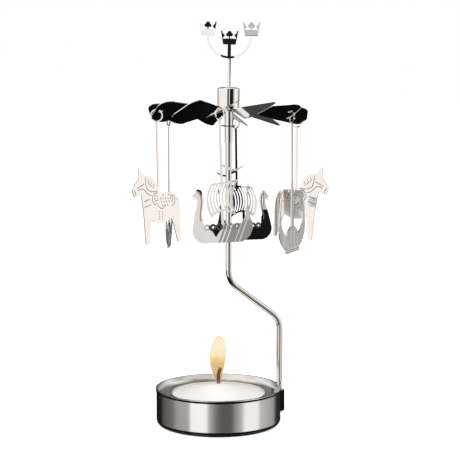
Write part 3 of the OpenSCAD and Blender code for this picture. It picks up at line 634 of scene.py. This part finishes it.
def flame():
    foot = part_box("wax")[1][2] / MM + FLAME_OVER_WAX
    made = new_object("flame", flame_mesh(foot))
    smooth = made.modifiers.new("smooth", "SUBSURF")
    smooth.levels = smooth.render_levels = 2
    made.data.materials.append(flame_material(foot, FLAME_HEIGHT))
    made.visible_shadow = False
    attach(made, "tealight")


# Studio, in metres and degrees

FLOOR_SIZE = 12
FLOOR_LIFT = 0.5
WORLD_LIGHT = 0.76
LAMP_DISTANCE = 1.1
LAMP_AIM = 0.06
DOME_RADIUS = 1.2
DOME_MIDDLE = 0.1

# Greys that the surround shows, by the angle from the camera's side, with the camera's left
# below 0: as the cup mirrors it, then the plates and the rod, the cap, and the ceiling
LOW_GREYS = (
    (-180, 0.004), (-132, 0.006), (-118, 0.09), (-92, 0.16), (-84, 0.29), (-56, 0.38),
    (-51, 0.98), (-22, 1.0), (-17, 0.42), (-9, 0.25), (-5, 0.14), (10, 0.11), (24, 0.12),
    (30, 0.28), (42, 0.5), (50, 0.98), (76, 0.95), (83, 0.5), (120, 0.33), (130, 0.07),
    (136, 0.02), (180, 0.01))
MIDDLE_GREYS = (
    (-180, 0.4), (-125, 0.5), (-112, 0.22), (-95, 0.3), (-78, 1.0), (-28, 1.0), (-24, 0.8),
    (-3, 0.76), (3, 0.01), (38, 0.01), (42, 0.32), (56, 0.32), (60, 0.58), (67, 0.58),
    (70, 0.3), (74, 0.4), (77, 1.0), (104, 1.0), (110, 0.5), (140, 0.4),
    (180, 0.1))
HIGH_GREYS = (
    (-180, 0.05), (-140, 0.1), (-128, 1.0), (-14, 1.0), (-10, 0.01), (3, 0.01), (6, 1.0),
    (10, 1.0), (14, 0.01), (51, 0.02), (54, 0.55), (66, 0.55), (69, 1.0), (126, 1.0),
    (136, 0.1), (180, 0.05))
OVERHEAD_GREYS = ((-180, 0.004), (-110, 0.004), (-80, 0.9), (80, 0.9), (110, 0.004), (180, 0.004))
GROUND_GREY = 0.004
TOP_GREY = 0.85
WARM_WHITE = (1.0, 0.975, 0.95, 1)

# Angles above the level between which each tone of the surround gives way to the next
GROUND_TO_LOW = (-31, -25)
LOW_TO_MIDDLE = (-13.5, -12)
MIDDLE_TO_HIGH = (3, 5)
HIGH_TO_OVERHEAD = (26, 37)
OVERHEAD_TO_TOP = (68, 72)


def seen(tree):
    """1 for what the camera, a reflection or a clear piece shows, and 0 for light."""
    path = add(tree, "LightPath").outputs
    shown = larger(tree, path["Is Camera Ray"], path["Is Glossy Ray"])
    return larger(tree, shown, path["Is Transmission Ray"])


def floor():
    """Pale paper, lifted to white where it is seen."""
    made, tree, shader = material("floor")
    paper = noise(tree, place(tree), scale=40, detail=4)
    put(tree, shader, Roughness=0.9, Specular_IOR_Level=0.0,
        Base_Color=blend_colours(tree, spread(tree, paper, 0, 1), grey(0.85), grey(0.87)))
    lift = add(tree, "Emission", (0, grey(1)),
               (1, spread(tree, seen(tree), 0, FLOOR_LIFT, 0, 1)))
    surface(tree, add(tree, "AddShader", (0, shader.outputs[0]), (1, lift.outputs[0])).outputs[0])
    bpy.ops.mesh.primitive_plane_add(size=FLOOR_SIZE, location=(0, 0, 0))
    plane = bpy.context.object
    plane.name = "floor"
    plane.data.materials.append(made)
    # Metal shows the surround in its place
    plane.visible_glossy = False


def surround():
    """A studio's screens and flags all round, which only reflections show."""
    bpy.ops.mesh.primitive_uv_sphere_add(segments=64, ring_count=32, radius=DOME_RADIUS)
    dome = bpy.context.object
    dome.name = "surround"
    # The dome's own X looks to the camera's side
    dome.matrix_world = Matrix.Translation(UP * DOME_MIDDLE) @ Matrix.Rotation(
        math.radians(CAM_AZIMUTH - 90), 4, "Z")
    made, tree, shader = material("surround")
    tree.nodes.remove(shader)
    way = add(tree, "SeparateXYZ", (0, place(tree))).outputs
    turn = spread(tree, calc(tree, "ARCTAN2", way["Y"], way["X"]), 0, 1, -math.pi, math.pi)
    low, middle, high, overhead = (
        ramp(tree, turn, [((angle + 180) / 360, tone) for angle, tone in greys])
        for greys in (LOW_GREYS, MIDDLE_GREYS, HIGH_GREYS, OVERHEAD_GREYS))
    rise = calc(tree, "ARCSINE", calc(tree, "DIVIDE", way["Z"], DOME_RADIUS))
    rise = calc(tree, "DEGREES", rise)
    tone = blend_colours(tree, spread(tree, rise, 0, 1, *LOW_TO_MIDDLE), low, middle)
    tone = blend_colours(tree, spread(tree, rise, 0, 1, *MIDDLE_TO_HIGH), tone, high)
    tone = blend_colours(tree, spread(tree, rise, 0, 1, *HIGH_TO_OVERHEAD), tone, overhead)
    tone = blend_colours(tree, spread(tree, rise, 1, 0, *GROUND_TO_LOW), tone, grey(GROUND_GREY))
    tone = blend_colours(tree, spread(tree, rise, 0, 1, *OVERHEAD_TO_TOP), tone, grey(TOP_GREY))
    warm = add(tree, "Mix", (0, 1.0), (6, tone), (7, WARM_WHITE), data_type="RGBA",
               blend_type="MULTIPLY").outputs[2]
    surface(tree, add(tree, "Emission", (0, warm), (1, 1.0)).outputs[0])
    dome.data.materials.append(made)
    dome.visible_camera = dome.visible_diffuse = dome.visible_shadow = False
    dome.visible_transmission = dome.visible_volume_scatter = False


def world():
    """White where it is seen, and a plain light on the object."""
    made = bpy.data.worlds.new("studio")
    bpy.context.scene.world = made
    made.use_nodes = True
    tree = made.node_tree
    tree.nodes.clear()
    light = add(tree, "Background", (0, (1, 0.995, 0.985, 1)), (1, WORLD_LIGHT))
    white = add(tree, "Background", (0, grey(1)), (1, 1.0))
    mixed = add(tree, "MixShader", (0, seen(tree)), (1, light.outputs[0]), (2, white.outputs[0]))
    out = add(tree, "OutputWorld")
    tree.links.new(mixed.outputs[0], out.inputs[0])


def lamp(name, azimuth, elevation, size, power):
    """A soft square lamp that looks at the object from that side."""
    light = bpy.data.lights.new(name, "AREA")
    light.size = size
    light.energy = power
    made = new_object(name, light)
    back = outward(azimuth, elevation)
    made.location = back * LAMP_DISTANCE + UP * LAMP_AIM
    made.rotation_euler = back.to_track_quat("Z", "Y").to_euler()
    made.visible_glossy = False


def camera():
    data = bpy.data.cameras.new("camera")
    data.sensor_width = SENSOR_MM
    data.lens = CAM_FOCAL_PX / PHOTO_PX * SENSOR_MM
    data.clip_start = 0.01
    made = new_object("camera", data)
    made.location = outward(CAM_AZIMUTH) * CAM_DISTANCE + UP * CAM_HEIGHT
    made.rotation_euler = (math.radians(90 - CAM_PITCH), 0, math.radians(CAM_AZIMUTH + CAM_YAW))
    bpy.context.scene.camera = made


flame()
floor()
surround()
world()
lamp("key", azimuth=CAM_AZIMUTH - 40, elevation=45, size=0.7, power=4.6)
lamp("fill", azimuth=CAM_AZIMUTH + 60, elevation=40, size=0.9, power=3)
camera()

bpy.context.scene.view_settings.view_transform = "Standard"
